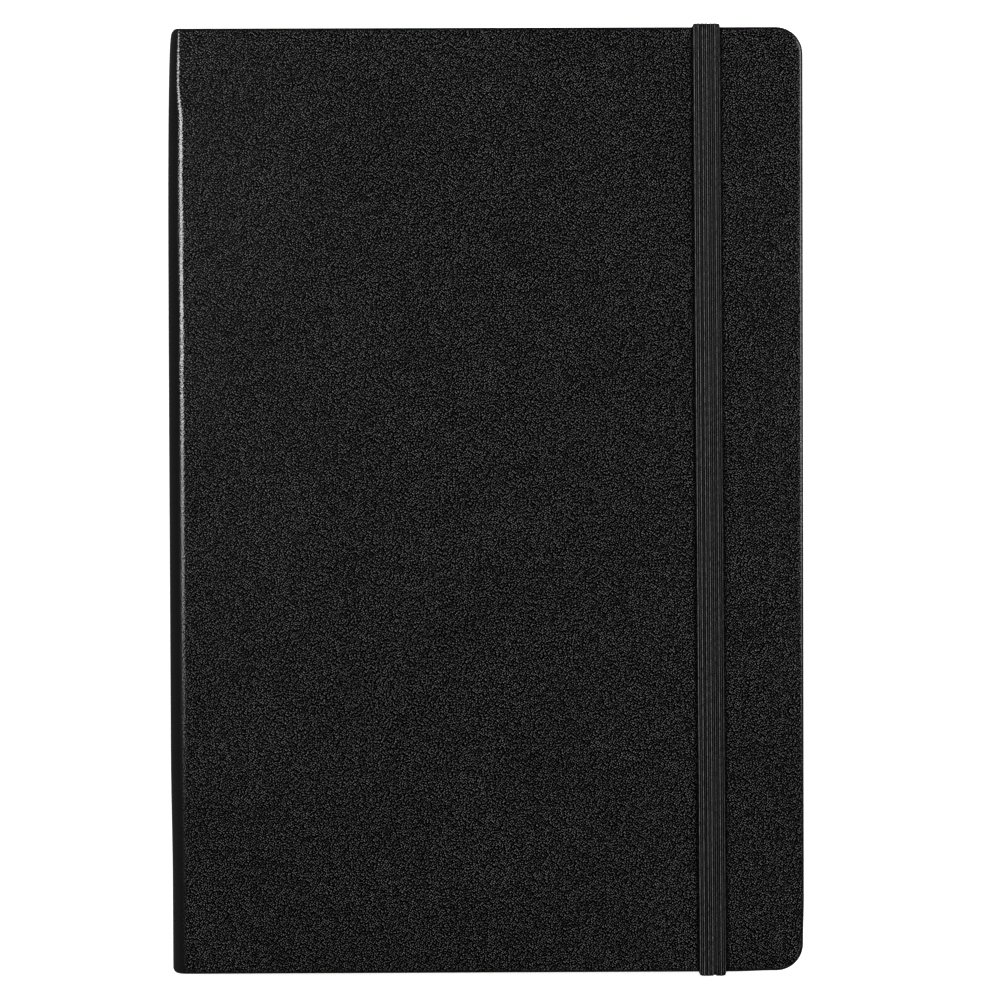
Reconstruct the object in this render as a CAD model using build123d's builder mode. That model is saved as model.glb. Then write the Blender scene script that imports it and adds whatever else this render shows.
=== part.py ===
"""A hard-cover sketchbook with an elastic closure band, as an assembly of its real pieces.

The book lies closed on its back cover. X runs from the spine (-) to the fore-edge (+), Y from the
tail (-) to the head (+) and Z from the desk up. The origin is under the middle of the book, on
the desk. The case and the block are symmetric about the plane half-way between the covers, so
most pieces are placed by their distance from that plane, on the rear side or the front side.
The case opens on two lines parallel to Y, half a fold's radius in from the outside of the spine
and of each cover, so that both covers and the spine lie in one plane when the book is open.

Millimetres throughout.
"""

import os
from math import atan2, cos, sin

from build123d import *

# ---- Driving dimensions -----------------------------------------------------------------------

# Case: two boards and a spine strip, wrapped in one sheet of leatherette
CASE_WIDTH = 141.0  # spine to fore-edge
CASE_HEIGHT = 210.0  # tail to head
FORE_CORNER_R = 6.0  # the two rounded corners, seen from the front
FOLD_R = 3.0  # outer radius of the two folds that the case opens at
LEATHERETTE = 0.3
BOARD = 2.0
SPINE_CARD = 1.0
TURN_IN = 14.0  # margin of leatherette folded over onto the inside of the boards
BOARD_EDGE_R = 0.4  # eased edges of the boards

# Book block: sewn signatures, each of folded sheets nested in one another
SIGNATURES = 6
SHEETS_PER_SIGNATURE = 4
LEAF = 0.22
LEAF_PITCH = 0.23
SIGNATURE_GAP = 0.06
MIDDLE_GAP = 0.08  # between the two halves of the block, where the book opens
SQUARE = 2.0  # how far the covers reach past the leaves at head, tail and fore-edge
LEAF_CORNER_R = 4.0
BLOCK_SPINE_X = -67.4  # outside of the signatures' folds
ENDPAPER = 0.2
ENDPAPER_GAP = 0.05  # between the pasted-down leaf and the free one

# Spine linings, from the hollow inwards: paper, then the open cloth called mull
LINING_PAPER = 0.2
MULL = 0.3
MULL_FACE_X = -67.9
LINING_INSET = 0.2  # of both linings, from the ends of the spine's flat
THREAD_R = 0.11
THREAD_GAP = 0.02
STITCH_LENGTH = 12.0
SEWING_STATIONS = 5
STATION_PITCH = 36.0
BEAD_R = 0.55  # headband and tailband
BEAD_GAP = 0.1
BEAD_TAPE = 9.0  # length of the tape that holds the bead to the lining

# Elastic closure band
ELASTIC_WIDTH = 6.0
ELASTIC = 1.0  # its thickness
ELASTIC_FROM_FORE_EDGE = 20.9  # to its centre line, half-way up the book
ELASTIC_DRIFT = 1.0  # how much nearer the fore-edge it sits at the tail than at the head
ELASTIC_SLIT_FROM_EDGE = 8.0  # the slits it passes through, in the back cover
ELASTIC_SPLICE_Y = 104.4  # where the free loop meets the held ends, under the back cover
ELASTIC_TAB = 12.0  # length glued down inside the back cover
ELASTIC_TAB_THICKNESS = 0.6
TAB_SINK = 0.02  # how far the glued end lies below the turn-ins' face
SLIT_CLEARANCE = 0.05
SLIT_END_CLEARANCE = 0.2
EDGE_CLEARANCE = 0.02  # between the band and the covers' edges at head and tail

# ---- Worked-out sizes -------------------------------------------------------------------------

HALF_W = CASE_WIDTH / 2
HALF_H = CASE_HEIGHT / 2
HINGE_X = -HALF_W + FOLD_R  # where the boards stop and the folds begin
LEAF_TOP_Y = HALF_H - SQUARE
LEAF_FORE_X = HALF_W - SQUARE

# Distances from the middle plane outwards, the same on the front and rear sides
HALF_SIGNATURE = SHEETS_PER_SIGNATURE * LEAF_PITCH - (LEAF_PITCH - LEAF) / 2
SIGNATURE_PITCH = 2 * HALF_SIGNATURE + SIGNATURE_GAP
FIRST_SIGNATURE = HALF_SIGNATURE + MIDDLE_GAP / 2
BLOCK_HALF = FIRST_SIGNATURE + (SIGNATURES / 2 - 1) * SIGNATURE_PITCH + HALF_SIGNATURE
FLYLEAF_D = BLOCK_HALF + ENDPAPER_GAP
PASTEDOWN_D = FLYLEAF_D + ENDPAPER + ENDPAPER_GAP
TURN_IN_D = PASTEDOWN_D + ENDPAPER  # inner face of the turn-ins and of the boards' middle
BOARD_D = TURN_IN_D + LEATHERETTE
COVER_SKIN_D = BOARD_D + BOARD
CASE_D = COVER_SKIN_D + LEATHERETTE
MID_Z = CASE_D + ELASTIC

FOLD_D = CASE_D - FOLD_R  # where the folds end and the flat of the spine begins
SPINE_SKIN_X = -HALF_W + LEATHERETTE
SPINE_CARD_X = SPINE_SKIN_X + SPINE_CARD
LINING_X = MULL_FACE_X - MULL - LINING_PAPER
LINING_D = FOLD_D - LINING_INSET

ELASTIC_X = HALF_W - ELASTIC_FROM_FORE_EDGE
ELASTIC_LEAN = atan2(ELASTIC_DRIFT, CASE_HEIGHT)
# The band's own plane: local x along the band towards the head, local y up from the desk
ELASTIC_PLANE = Plane(
    origin=(ELASTIC_X, 0, 0),
    x_dir=(-sin(ELASTIC_LEAN), cos(ELASTIC_LEAN), 0),
    z_dir=(cos(ELASTIC_LEAN), sin(ELASTIC_LEAN), 0),
)
SLIT_Y = HALF_H - ELASTIC_SLIT_FROM_EDGE - ELASTIC
TAB_TOP_Z = MID_Z - TURN_IN_D - TAB_SINK

REAR, FRONT = -1, 1
HEAD, TAIL = 1, -1

os.makedirs("parts", exist_ok=True)


def save(piece, name):
    """Labels a finished piece and writes it to its own STEP file."""
    piece.part.label = name
    export_step(piece.part, f"parts/{name}.step")


def layer(side, near, far):
    """The plane and depth of a layer between two distances from the middle plane."""
    low = MID_Z + (near if side == FRONT else -far)
    return Plane.XY.offset(low), far - near


def cover_outline(inset):
    """The cover's plan, pulled in from the edges, and running past the hinge to be cut there."""
    x, y, past = HALF_W - inset, HALF_H - inset, HINGE_X - TURN_IN
    with BuildLine() as outline:
        FilletPolyline((past, y), (x, y), (x, -y), (past, -y), radius=FORE_CORNER_R - inset)
        Line((past, -y), (past, y))
    make_face(outline.edges())


def eased_slab(side, inset, near, far, radius):
    """A cover-shaped slab with its outward rim eased on the three free sides."""
    plane, depth = layer(side, near, far)
    with BuildPart() as slab:
        with BuildSketch(plane):
            cover_outline(inset)
        extrude(amount=depth)
        outward_face = slab.faces().sort_by(Axis.Z)[-1 if side == FRONT else 0]
        fillet(outward_face.edges(), radius=radius)
        split(bisect_by=Plane.YZ.offset(HINGE_X), keep=Keep.TOP)
    return slab.part


def board_window(side):
    """The middle of a cover's inside, which the turn-ins leave bare."""
    plane, depth = layer(side, TURN_IN_D, BOARD_D)
    left, right = HINGE_X, HALF_W - TURN_IN
    with BuildPart() as window:
        with BuildSketch(plane):
            with Locations(((left + right) / 2, 0)):
                Rectangle(right - left, CASE_HEIGHT - 2 * TURN_IN)
        extrude(amount=depth)
    return window.part


def elastic_way():
    """What is cut from the back cover for the band: two slits, and a shallow recess beside each."""
    upwards = (Align.CENTER, Align.MIN)
    with BuildPart() as way:
        with BuildSketch(ELASTIC_PLANE):
            for end in (HEAD, TAIL):
                with Locations((end * (SLIT_Y + ELASTIC / 2), 0)):
                    Rectangle(ELASTIC + 2 * SLIT_CLEARANCE, MID_Z, align=upwards)
                reach = ELASTIC_TAB + SLIT_CLEARANCE
                floor = TAB_TOP_Z - ELASTIC_TAB_THICKNESS - SLIT_CLEARANCE
                with Locations((end * (SLIT_Y + ELASTIC - reach / 2), floor)):
                    Rectangle(reach, MID_Z - floor, align=upwards)
        extrude(amount=ELASTIC_WIDTH / 2 + SLIT_END_CLEARANCE, both=True)
    return way.part


# ---- Case: boards, spine card and leatherette ---------------------------------------------------

for side, name in ((REAR, "back"), (FRONT, "front")):
    # The board is full thickness in the middle; its margin is pressed down under the turn-ins
    with BuildPart() as board:
        add(eased_slab(side, LEATHERETTE, BOARD_D, COVER_SKIN_D, BOARD_EDGE_R))
        add(board_window(side))
        if side == REAR:
            add(elastic_way(), mode=Mode.SUBTRACT)
    save(board, f"{name}_board")

    # The leatherette goes over the outside and the three free edges, and is turned in
    with BuildPart() as cover_leatherette:
        add(eased_slab(side, 0, TURN_IN_D, CASE_D, BOARD_EDGE_R + LEATHERETTE))
        add(board.part, mode=Mode.SUBTRACT)
        if side == REAR:
            add(elastic_way(), mode=Mode.SUBTRACT)
    save(cover_leatherette, f"{name}_cover_leatherette")

with BuildPart() as spine_board:
    with Locations(((SPINE_SKIN_X + SPINE_CARD_X) / 2, 0, MID_Z)):
        Box(SPINE_CARD, CASE_HEIGHT - 2 * LEATHERETTE, 2 * FOLD_D)
save(spine_board, "spine_board")

# A channel open towards the block: the outside, the two folded ends and the two turn-ins
with BuildPart() as spine_leatherette:
    with BuildSketch(Plane.XY.offset(MID_Z - FOLD_D)):
        turned_x = SPINE_CARD_X + LEATHERETTE
        with Locations(((turned_x - HALF_W) / 2, 0)):
            Rectangle(turned_x + HALF_W, CASE_HEIGHT)
        with Locations(((SPINE_SKIN_X + SPINE_CARD_X) / 2, 0)):
            Rectangle(SPINE_CARD, CASE_HEIGHT - 2 * LEATHERETTE, mode=Mode.SUBTRACT)
        with Locations((SPINE_CARD_X + LEATHERETTE / 2, 0)):
            Rectangle(LEATHERETTE, CASE_HEIGHT - 2 * TURN_IN, mode=Mode.SUBTRACT)
    extrude(amount=2 * FOLD_D)
save(spine_leatherette, "spine_leatherette")


def fold_strip(side, outer, inner):
    """A quarter of a ring: the leatherette where it bends between a cover and the spine."""
    start = 180 if side == REAR else 90
    centre = (HINGE_X, MID_Z + side * FOLD_D)
    with BuildLine() as edge:
        outside = CenterArc(centre, outer, start, 90)
        inside = CenterArc(centre, inner, start, 90)
        Line(outside @ 0, inside @ 0)
        Line(outside @ 1, inside @ 1)
    make_face(edge.edges())


for side, name in ((REAR, "rear"), (FRONT, "front")):
    with BuildPart() as hinge:
        with BuildSketch(Plane.XZ):
            fold_strip(side, FOLD_R, FOLD_R - LEATHERETTE)
        extrude(amount=HALF_H, both=True)
        # turned in at head and tail, like the rest of the sheet
        for end in (HEAD, TAIL):
            with BuildSketch(Plane.XZ.offset(-end * (HALF_H - TURN_IN / 2))):
                fold_strip(side, FOLD_R - LEATHERETTE, FOLD_R - 2 * LEATHERETTE)
            extrude(amount=TURN_IN / 2, both=True)
    save(hinge, f"{name}_hinge_leatherette")

# ---- Endpapers ----------------------------------------------------------------------------------


def folded_sheet(centre_d, inner_r, thickness, spine_x, far_x):
    """The section of a sheet folded once: a hairpin, open towards the fore-edge."""
    outer_r = inner_r + thickness
    fold = (spine_x + outer_r, MID_Z + centre_d)
    length = far_x - fold[0]
    with Locations(fold):
        Circle(outer_r)
    with Locations((fold[0] + length / 2, fold[1])):
        Rectangle(length, 2 * outer_r)
        Rectangle(length, 2 * inner_r, mode=Mode.SUBTRACT)
    with Locations(fold):
        Circle(inner_r, mode=Mode.SUBTRACT)


def round_leaf_corners(radius):
    """Rounds the fore-edge corners of every leaf of the sheet just made."""
    corners = edges(Select.LAST).filter_by(Axis.Z).group_by(Axis.X)[-1]
    fillet(corners, radius=radius)


for side, name in ((REAR, "back"), (FRONT, "front")):
    with BuildPart() as endpaper:
        with BuildSketch(Plane.XZ):
            centre = side * (FLYLEAF_D + ENDPAPER + ENDPAPER_GAP / 2)
            folded_sheet(centre, ENDPAPER_GAP / 2, ENDPAPER, BLOCK_SPINE_X, LEAF_FORE_X)
        extrude(amount=LEAF_TOP_Y, both=True)
        round_leaf_corners(LEAF_CORNER_R)
    save(endpaper, f"{name}_endpaper")

# ---- Signatures and their sewing ----------------------------------------------------------------

for number in range(1, SIGNATURES + 1):
    if number <= SIGNATURES / 2:
        centre_d = FIRST_SIGNATURE + SIGNATURE_PITCH * (SIGNATURES / 2 - number)
    else:
        centre_d = -FIRST_SIGNATURE - SIGNATURE_PITCH * (number - SIGNATURES / 2 - 1)

    with BuildPart() as signature:
        for sheet in range(SHEETS_PER_SIGNATURE):
            inner_r = (LEAF_PITCH - LEAF) / 2 + sheet * LEAF_PITCH
            fold_x = BLOCK_SPINE_X + (SHEETS_PER_SIGNATURE - 1 - sheet) * LEAF_PITCH
            with BuildSketch(Plane.XZ):
                folded_sheet(centre_d, inner_r, LEAF, fold_x, LEAF_FORE_X)
            extrude(amount=LEAF_TOP_Y, both=True)
            round_leaf_corners(LEAF_CORNER_R)
    save(signature, f"signature_{number}")

    # Stitches along the outside of the fold, one at each sewing station
    with BuildPart() as thread:
        middle = (SEWING_STATIONS - 1) / 2
        for station in range(SEWING_STATIONS):
            y = (station - middle) * STATION_PITCH
            with Locations((BLOCK_SPINE_X - THREAD_GAP - THREAD_R, y, MID_Z + centre_d)):
                Cylinder(THREAD_R, STITCH_LENGTH, rotation=(90, 0, 0))
    save(thread, f"sewing_thread_{number}")

# ---- Spine linings, headband and tailband -------------------------------------------------------

with BuildPart() as mull:
    with Locations((MULL_FACE_X - MULL / 2, 0, MID_Z)):
        Box(MULL, 2 * LEAF_TOP_Y - 2 * TURN_IN, 2 * LINING_D)
save(mull, "mull")

with BuildPart() as lining_paper:
    with Locations((LINING_X + LINING_PAPER / 2, 0, MID_Z)):
        Box(LINING_PAPER, 2 * LEAF_TOP_Y, 2 * LINING_D)
save(lining_paper, "spine_lining_paper")

# A woven bead across the end of the block, on a short tape that is glued to the lining
for end, name in ((HEAD, "headband"), (TAIL, "tailband")):
    with BuildPart() as band:
        bead_y = LEAF_TOP_Y + BEAD_GAP + BEAD_R
        tape_x, tape_y = MULL_FACE_X - MULL, LEAF_TOP_Y - BEAD_TAPE
        with Locations((tape_x + BEAD_R, end * bead_y, MID_Z)):
            Cylinder(BEAD_R, 2 * LINING_D)
        with Locations((tape_x + MULL / 2, end * (tape_y + bead_y) / 2, MID_Z)):
            Box(MULL, bead_y - tape_y, 2 * LINING_D)
    save(band, name)

# ---- Elastic closure band -----------------------------------------------------------------------

with BuildPart() as elastic_loop:
    with BuildSketch(ELASTIC_PLANE):
        with Locations((0, MID_Z)):
            inside = CASE_HEIGHT + 2 * EDGE_CLEARANCE
            RectangleRounded(inside + 2 * ELASTIC, 2 * MID_Z, ELASTIC)
            Rectangle(inside, 2 * CASE_D, mode=Mode.SUBTRACT)
        with Locations((0, ELASTIC / 2)):
            Rectangle(2 * ELASTIC_SPLICE_Y, ELASTIC, mode=Mode.SUBTRACT)
    extrude(amount=ELASTIC_WIDTH / 2, both=True)
save(elastic_loop, "elastic_loop")

# Each end runs under the back cover, up through its slit and flat into the recess
for end, name in ((HEAD, "head"), (TAIL, "tail")):
    with BuildPart() as elastic_end:
        with BuildSketch(ELASTIC_PLANE):
            outside = ELASTIC_SPLICE_Y - SLIT_Y
            with Locations((end * (SLIT_Y + outside / 2), ELASTIC / 2)):
                Rectangle(outside, ELASTIC)
            with Locations((end * (SLIT_Y + ELASTIC / 2), TAB_TOP_Z / 2)):
                Rectangle(ELASTIC, TAB_TOP_Z)
            tab_y = SLIT_Y + ELASTIC - ELASTIC_TAB / 2
            with Locations((end * tab_y, TAB_TOP_Z - ELASTIC_TAB_THICKNESS / 2)):
                Rectangle(ELASTIC_TAB, ELASTIC_TAB_THICKNESS)
        extrude(amount=ELASTIC_WIDTH / 2, both=True)
    save(elastic_end, f"elastic_end_{name}")
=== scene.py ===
"""The looks of a closed hard-cover sketchbook with an elastic band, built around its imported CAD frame.

Pieces are built in millimetres, in the frame's own axes: X from the spine to the fore-edge, Y from
the tail to the head, Z up from the desk. new_piece() turns them into metres. Each new mesh carries
two attributes: "cloth", the place on the flat, uncut material in millimetres, which the textures
follow round every edge and fold, and "wear", how much a point is rubbed, from 0 to 1.
"""

import math
import random
from collections import namedtuple

import bmesh
import bpy
import numpy as np
from mathutils import Matrix, Vector, noise


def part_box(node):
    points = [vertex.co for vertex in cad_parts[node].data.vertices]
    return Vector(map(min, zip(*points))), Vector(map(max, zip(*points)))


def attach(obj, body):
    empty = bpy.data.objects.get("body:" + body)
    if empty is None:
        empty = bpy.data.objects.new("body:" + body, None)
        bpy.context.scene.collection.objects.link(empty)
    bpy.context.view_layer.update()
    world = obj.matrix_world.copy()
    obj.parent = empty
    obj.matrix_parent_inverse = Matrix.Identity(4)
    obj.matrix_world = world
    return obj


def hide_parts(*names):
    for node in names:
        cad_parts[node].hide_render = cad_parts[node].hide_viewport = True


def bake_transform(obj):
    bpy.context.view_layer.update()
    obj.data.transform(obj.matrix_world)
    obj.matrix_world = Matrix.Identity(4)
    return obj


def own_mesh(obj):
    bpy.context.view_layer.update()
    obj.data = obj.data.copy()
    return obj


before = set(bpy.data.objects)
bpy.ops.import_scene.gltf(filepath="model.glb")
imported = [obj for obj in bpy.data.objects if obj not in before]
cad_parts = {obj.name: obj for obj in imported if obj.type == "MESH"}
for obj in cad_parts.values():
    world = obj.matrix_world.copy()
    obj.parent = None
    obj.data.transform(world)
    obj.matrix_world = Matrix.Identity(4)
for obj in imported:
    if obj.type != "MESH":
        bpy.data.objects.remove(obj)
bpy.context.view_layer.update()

MM = 0.001
HEAD, TAIL = 1, -1
FRONT, REAR = 1, -1
ENDS = ((HEAD, "head"), (TAIL, "tail"))
SIGNATURES = range(1, 7)


def box_mm(node):
    """The lowest and highest corner of a CAD node, in millimetres."""
    low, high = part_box(node)
    return np.array(low) / MM, np.array(high) / MM


def signature_body(number):
    """The body that a signature belongs to: the first and the last go with the covers."""
    return {1: "front_cover", 6: "back_cover"}.get(number, f"signature_{number}")


# ---- What the frame says ------------------------------------------------------------------------

front_low, front_high = box_mm("front_cover_leatherette")
spine_low, spine_high = box_mm("spine_leatherette")
board_low, board_high = box_mm("spine_board")
elastic_low, elastic_high = box_mm("elastic_loop")

HINGE_X, FORE_X, HEAD_Y = front_low[0], front_high[0], front_high[1]
SPINE_X = spine_low[0]
MID_Z = (spine_low[2] + spine_high[2]) / 2
FOLD_R = HINGE_X - SPINE_X
CASE_D = front_high[2] - MID_Z  # from the middle plane to the outside of either cover
FOLD_D = CASE_D - FOLD_R
FOLD_FLAT = FOLD_D + FOLD_R * math.pi / 2  # from the middle of the spine to the covers, on the flat
COVER_T = front_high[2] - front_low[2]
SPINE_T = spine_high[0] - spine_low[0]
BAND_X = (elastic_low[0] + elastic_high[0]) / 2
BAND_LEAN = math.atan2(1.0, 2 * HEAD_Y)  # the elastic lies 1 mm aslant from tail to head

# ---- Sizes of the looks' own ---------------------------------------------------------------------

CORNER_R = 6.0  # of the covers, at the fore-edge
RIM_R, RIM_INNER_R = 0.7, 0.35  # of the leatherette round the boards' edges
SPINE_END_R, SPINE_END_INNER_R = 1.35, 0.22  # of the same over the ends of the spine and its folds
TURN_IN = 14.0
SKIN = 0.28
FOLD_START = 5.7  # slope of the covers where the folds begin, in degrees
FOLD_DROP = 0.0175  # how far the covers have sloped down there
FOLD_ROLL = 0.35  # the width of that slope
FOLD_REACH = 0.42  # how far on to the covers the folds begin
FOLD_STEPS = 16
RIDGE_REACH = 4.0  # how far on to the covers their ridges wander
HEAD_PULLS = ((0.78, 17.0), (0.4, 1.6))  # the spine is drawn in so far at the head, over such a length
TAIL_PULL, TAIL_PULL_FROM = 0.3, 55.0  # the same at the tail, and how far from the middle it begins
HEAD_LEAN, HEAD_LEAN_FROM = 0.65, 84.0  # the same of the ridge's lean over the spine, at the head

GRAIN_SCALE = 2.3  # pebbles in a millimetre
GRAIN_DEPTH = 0.012
GRAIN_ROUGH = 0.12
GLINT_INNER, GLINT_OUTER = 0.08, 0.34  # painted glints on the pebbles' tops, as shares of a pebble's width
# the grey of the painted glints, and the painted shade in the pits between pebbles and between the
# elastic's ribs
GLINT_GREY = 0.28
SHADED_PIT_BLACK = (0.0006, 0.0006, 0.0006)
WORN_GREY = (0.02, 0.02, 0.0205)
MARK_X, MARK_Y = 65.3, 9.3  # the middle of a line pressed into the front cover
MARK_HALF = (0.04, 0.22)  # its half width, where it is deepest and where it ends
MARK_ENDS = (12.0, 17.0)  # how far from its middle it fades out
BAND_SHADOW_REACH = (0.35, 0.95)  # a painted shadow beside the elastic, from here to here beyond its edges

ELASTIC_W = 6.0
BAND_HALF_T = 0.5
RIBS = 13
RIB_PITCH = ELASTIC_W / RIBS
# the grey of the painted highlights on the elastic's ribs
YARN_HIGHLIGHT_GREY = 0.2
HIGHLIGHT_FADE = (0.2, 0.05)  # the painted rib highlights fade out from here to here, from the band's edges, so its edges stay dark
THIN = {HEAD: 0.1, TAIL: 0.05}  # the stretched band is thinner round the covers' edges
NOTCH = {HEAD: 0.06, TAIL: 0.42}  # and creased along its middle
SPLICE_Y = 104.4  # where the visible band meets its glued ends, under the back cover
WRAP_R = 0.5
RIB_PROUD = (0.26, 0.14)  # how much every other rib stands out, as a share of half the thickness
BAND_EDGE = 0.3  # the width of its rounded edges
CREASE_AT, CREASE_HALF = 0.45, 0.35  # across the band
ROLL_AT, ROLL_W = 2.2, 0.8  # where the band's edges roll over round the covers

LEAF_CORNER_R = 4.0
LEAF_T = 0.175
LEAF_PITCH = 0.23
SHEETS = 4  # in a signature
INNER_FOLD_R = 0.115
LEAF_DRIFT = 0.022
TRIM = (0.09, 0.06, 0.06)  # how unevenly the leaves are cut, at the fore-edge, head and tail

STITCHES = range(-2, 3)
STITCH_PITCH, STITCH_LENGTH = 36.0, 11.6
BEAD_R = 0.55  # of the headband and the tailband
BEAD_PITCH = 0.42


# ---- Mesh tools ---------------------------------------------------------------------------------

WELD_M = 2e-7  # points closer than this, in metres, become one


class Mesh:
    """Grids of points, gathered and welded into one mesh."""

    def __init__(self):
        self.points, self.cloth, self.wear, self.faces = [], [], [], []

    def grid(self, rows, wanted=lambda row, column: True):
        """Adds quads over rows of (point, cloth, wear), all rows equally long."""
        first, width = len(self.points), len(rows[0])
        for row in rows:
            for point, cloth, wear in row:
                self.points.append(point)
                self.cloth.append(cloth)
                self.wear.append(wear)
        for r in range(len(rows) - 1):
            for c in range(width - 1):
                if wanted(r, c):
                    a = first + r * width + c
                    self.faces.append((a, a + 1, a + width + 1, a + width))


def new_piece(name, mesh, material, outward, skin=0.0, offset=-1.0):
    """Makes the object, welds it, turns its faces outwards and gives it a thickness.

    outward is a place on the mesh, in millimetres, and the direction that its face has to look in.
    """
    data = bpy.data.meshes.new(name)
    data.from_pydata([tuple(c * MM for c in p) for p in mesh.points], [], mesh.faces)
    cloth = data.attributes.new("cloth", "FLOAT_VECTOR", "POINT")
    cloth.data.foreach_set("vector", np.array(mesh.cloth, np.float32).ravel())
    wear = data.attributes.new("wear", "FLOAT", "POINT")
    wear.data.foreach_set("value", np.array(mesh.wear, np.float32))
    work = bmesh.new()
    work.from_mesh(data)
    bmesh.ops.remove_doubles(work, verts=work.verts, dist=WELD_M)
    bmesh.ops.recalc_face_normals(work, faces=work.faces)
    place, direction = outward
    target = Vector(place) * MM
    nearest = min(work.faces, key=lambda f: (f.calc_center_median() - target).length)
    if nearest.normal.dot(Vector(direction)) < 0:
        bmesh.ops.reverse_faces(work, faces=work.faces)
    for face in work.faces:
        face.smooth = True
    work.to_mesh(data)
    work.free()
    piece = bpy.data.objects.new(name, data)
    bpy.context.scene.collection.objects.link(piece)
    piece.data.materials.append(material)
    if skin:
        solid = piece.modifiers.new("thickness", "SOLIDIFY")
        solid.thickness = skin * MM
        solid.offset = offset
        solid.use_even_offset = False
    return piece


def wave(x, y, size, seed):
    """Smooth noise from -1 to 1 with bumps of about that size."""
    return noise.noise(Vector((x / size, y / size, seed)))


def ease(t):
    """0 to 1 with level ends."""
    t = min(1.0, max(0.0, t))
    return t * t * (3 - 2 * t)


# ---- Materials ----------------------------------------------------------------------------------


class Shader:
    """A material and short calls to add nodes to it."""

    def __init__(self, name, **fixed):
        self.material = bpy.data.materials.new(name)
        self.material.use_nodes = True
        self.tree = self.material.node_tree
        self.surface = self.tree.nodes["Principled BSDF"]
        for socket, value in fixed.items():
            self.surface.inputs[socket.replace("_", " ")].default_value = value

    def put(self, socket, value):
        """Links a node's output to a socket, or sets the socket to a plain value."""
        if isinstance(value, bpy.types.NodeSocket):
            self.tree.links.new(value, socket)
        else:
            socket.default_value = value

    def add(self, kind, output=0, props=None, **inputs):
        """Adds a node, fills its inputs by name or, as i0, i1, by place, and returns an output."""
        made = self.tree.nodes.new("ShaderNode" + kind)
        for key, value in (props or {}).items():
            setattr(made, key, value)
        for key, value in inputs.items():
            by_place = key[0] == "i" and key[1:].isdigit()
            self.put(made.inputs[int(key[1:]) if by_place else key.replace("_", " ")], value)
        return made.outputs[output]

    def cloth(self, scale=(1.0, 1.0, 1.0)):
        """The place on the flat material, in millimetres, stretched by scale."""
        flat = self.add("Attribute", "Vector", {"attribute_name": "cloth"})
        return self.vector("MULTIPLY", flat, scale)

    def place(self, scale=(1.0, 1.0, 1.0)):
        """The place in the object's own axes, in millimetres, for CAD nodes."""
        return self.vector("MULTIPLY", self.add("TexCoord", "Object"), tuple(s / MM for s in scale))

    def wear(self):
        return self.add("Attribute", "Fac", {"attribute_name": "wear"})

    def noise(self, at, scale, detail=2.0, roughness=0.5, output="Fac"):
        return self.add(
            "TexNoise", output, Vector=at, Scale=scale, Detail=detail, Roughness=roughness
        )

    def math(self, operation, a, b=0.0, c=0.0):
        return self.add("Math", 0, {"operation": operation}, i0=a, i1=b, i2=c)

    def vector(self, operation, a, b):
        return self.add("VectorMath", 0, {"operation": operation}, i0=a, i1=b)

    def axis(self, at, number):
        """One of a vector's three numbers."""
        return self.add("SeparateXYZ", number, i0=at)

    def ramp(self, value, low, high, to_low=0.0, to_high=1.0):
        """Maps a value from one range to another, eased at both ends."""
        props = {"interpolation_type": "SMOOTHSTEP"}
        return self.add(
            "MapRange", 0, props, Value=value,
            From_Min=low, From_Max=high, To_Min=to_low, To_Max=to_high,
        )

    def colour(self, factor, a, b):
        """Mixes two colours, each a tuple or a node's output."""
        mixed = self.tree.nodes.new("ShaderNodeMix")
        mixed.data_type = "RGBA"
        self.put(mixed.inputs[0], factor)
        for socket, value in ((mixed.inputs[6], a), (mixed.inputs[7], b)):
            self.put(socket, (*value, 1.0) if isinstance(value, tuple) else value)
        return mixed.outputs[2]

    def bump(self, height, depth):
        """Height from 0 to 1, over a depth in millimetres."""
        return self.add("Bump", 0, Height=height, Distance=depth * MM, Strength=1.0)

    def use(self, **outputs):
        """Links sockets to the surface's inputs."""
        for socket, value in outputs.items():
            self.tree.links.new(value, self.surface.inputs[socket.replace("_", " ")])
        return self.material


def add_pebbles(s, at):
    """The leatherette's grain: how far from a pebble's middle, and a number of the pebble's own."""
    shift = s.noise(at, 0.9, 1.0, output="Color")
    centred = s.vector("SUBTRACT", shift, (0.5, 0.5, 0.5))
    moved = s.add("VectorMath", 0, {"operation": "SCALE"}, i0=centred, Scale=0.25)
    warped = s.vector("ADD", at, moved)
    turned = s.add("VectorRotate", 0, {"rotation_type": "Z_AXIS"}, Vector=warped, Angle=0.6)
    flat = {"feature": "F1", "voronoi_dimensions": "2D"}
    return [
        s.add("TexVoronoi", output, flat, Vector=turned, Scale=GRAIN_SCALE, Randomness=0.7)
        for output in ("Distance", "Color")
    ]


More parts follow.
